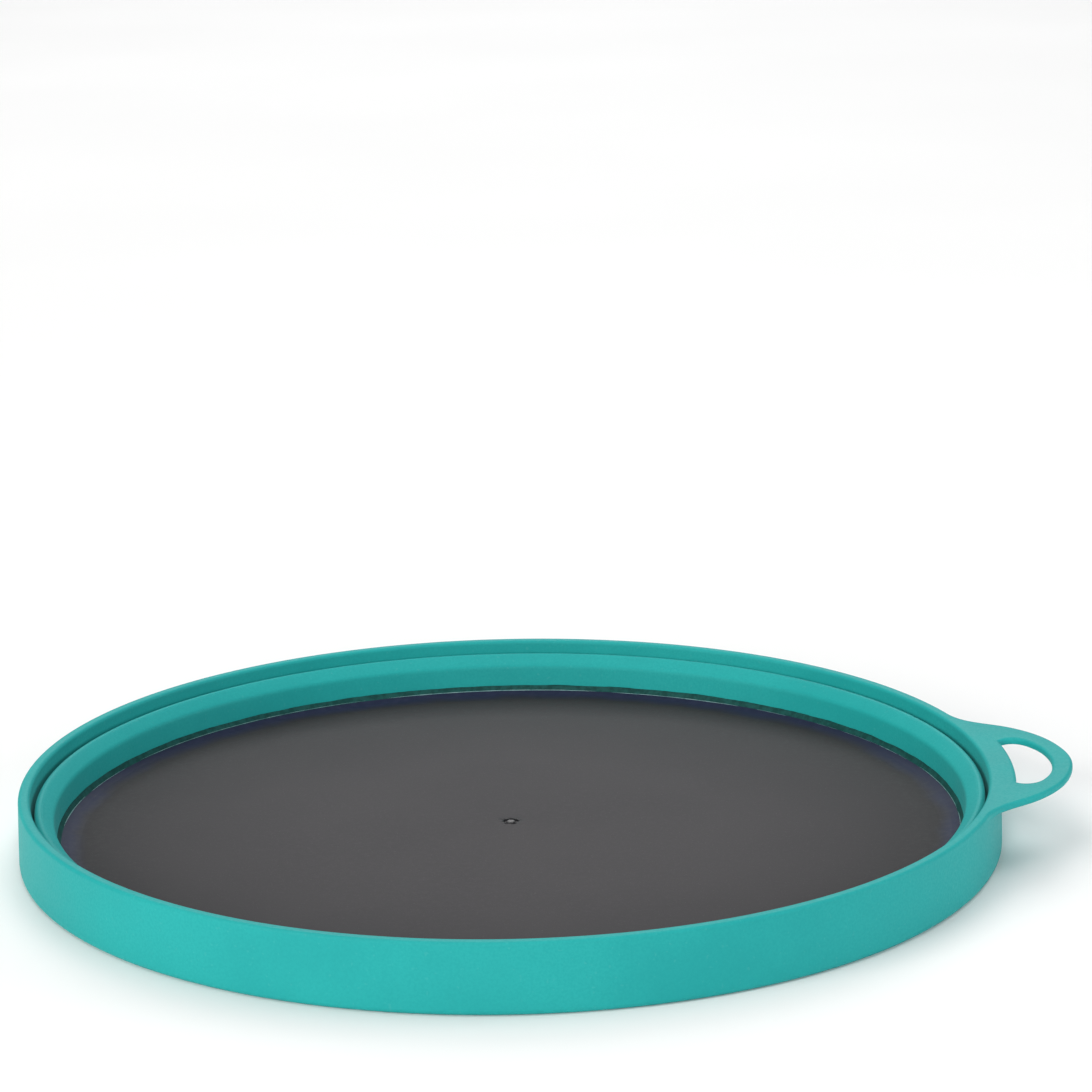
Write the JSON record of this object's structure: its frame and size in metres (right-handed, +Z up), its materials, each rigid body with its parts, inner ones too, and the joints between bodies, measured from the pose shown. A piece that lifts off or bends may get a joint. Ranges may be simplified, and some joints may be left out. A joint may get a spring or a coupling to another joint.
{
  "type": "collapsible travel plate",
  "caption": "Round collapsible silicone travel plate folded flat, with a rigid nylon floor, a rim that lifts to make a shallow bowl, and a D-shaped hang loop.",
  "frame": {"origin": "on the plate's axis, at the centre of the flat underside it rests on", "axes": "+Z up along the plate's axis; +X from the axis towards the hang loop"},
  "size_m": [0.232, 0.2162, 0.0158],
  "materials": {
    "nylon": "fine matte texture",
    "silicone": "matte silicone"
  },
  "bodies": {
    "base": {"base_plate": "nylon", "base_wall": "silicone", "foot_ring": "silicone"},
    "web": {"fold_web": "silicone"},
    "rim": {"rim_band": "silicone", "rim_hoop": "nylon", "hang_loop": "silicone"}
  },
  "joints": [
    {"name": "rim_lift", "type": "slide", "parent": "base", "child": "rim", "axis": [0, 0, 1], "range_m": [0, 0.023]},
    {"name": "web_lift", "type": "slide", "parent": "base", "child": "web", "axis": [0, 0, 1], "range_m": [0, 0.0115]}
  ],
  "couplings": [
    {"joint": "web_lift", "follows": "rim_lift", "ratio": 0.5}
  ]
}
